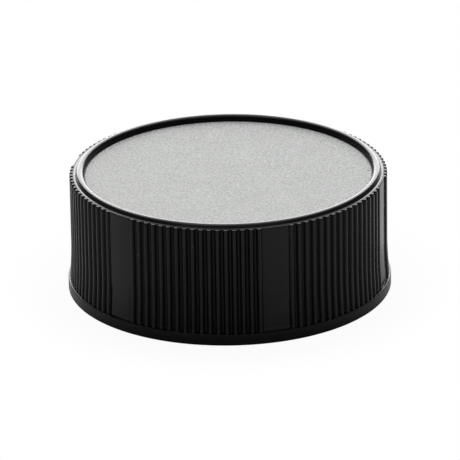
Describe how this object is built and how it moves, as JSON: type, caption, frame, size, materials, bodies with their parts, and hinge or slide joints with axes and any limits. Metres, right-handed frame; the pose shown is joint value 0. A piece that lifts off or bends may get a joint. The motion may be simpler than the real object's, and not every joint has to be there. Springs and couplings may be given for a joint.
{
  "type": "lined screw cap",
  "caption": "Black lined screw cap for a 28 mm bottle neck, with a ribbed grip, a raised rim and a recessed top.",
  "frame": {"origin": "centre of the open mouth, in the plane of its rim", "axes": "+Z along the cap's axis to the closed top; -Y through the middle of a smooth panel"},
  "size_m": [0.0312, 0.0312, 0.0119],
  "materials": {
    "shell": "satin",
    "liner": "matte foam"
  },
  "bodies": {
    "root": {"cap_shell": "shell", "liner": "liner"}
  },
  "joints": []
}
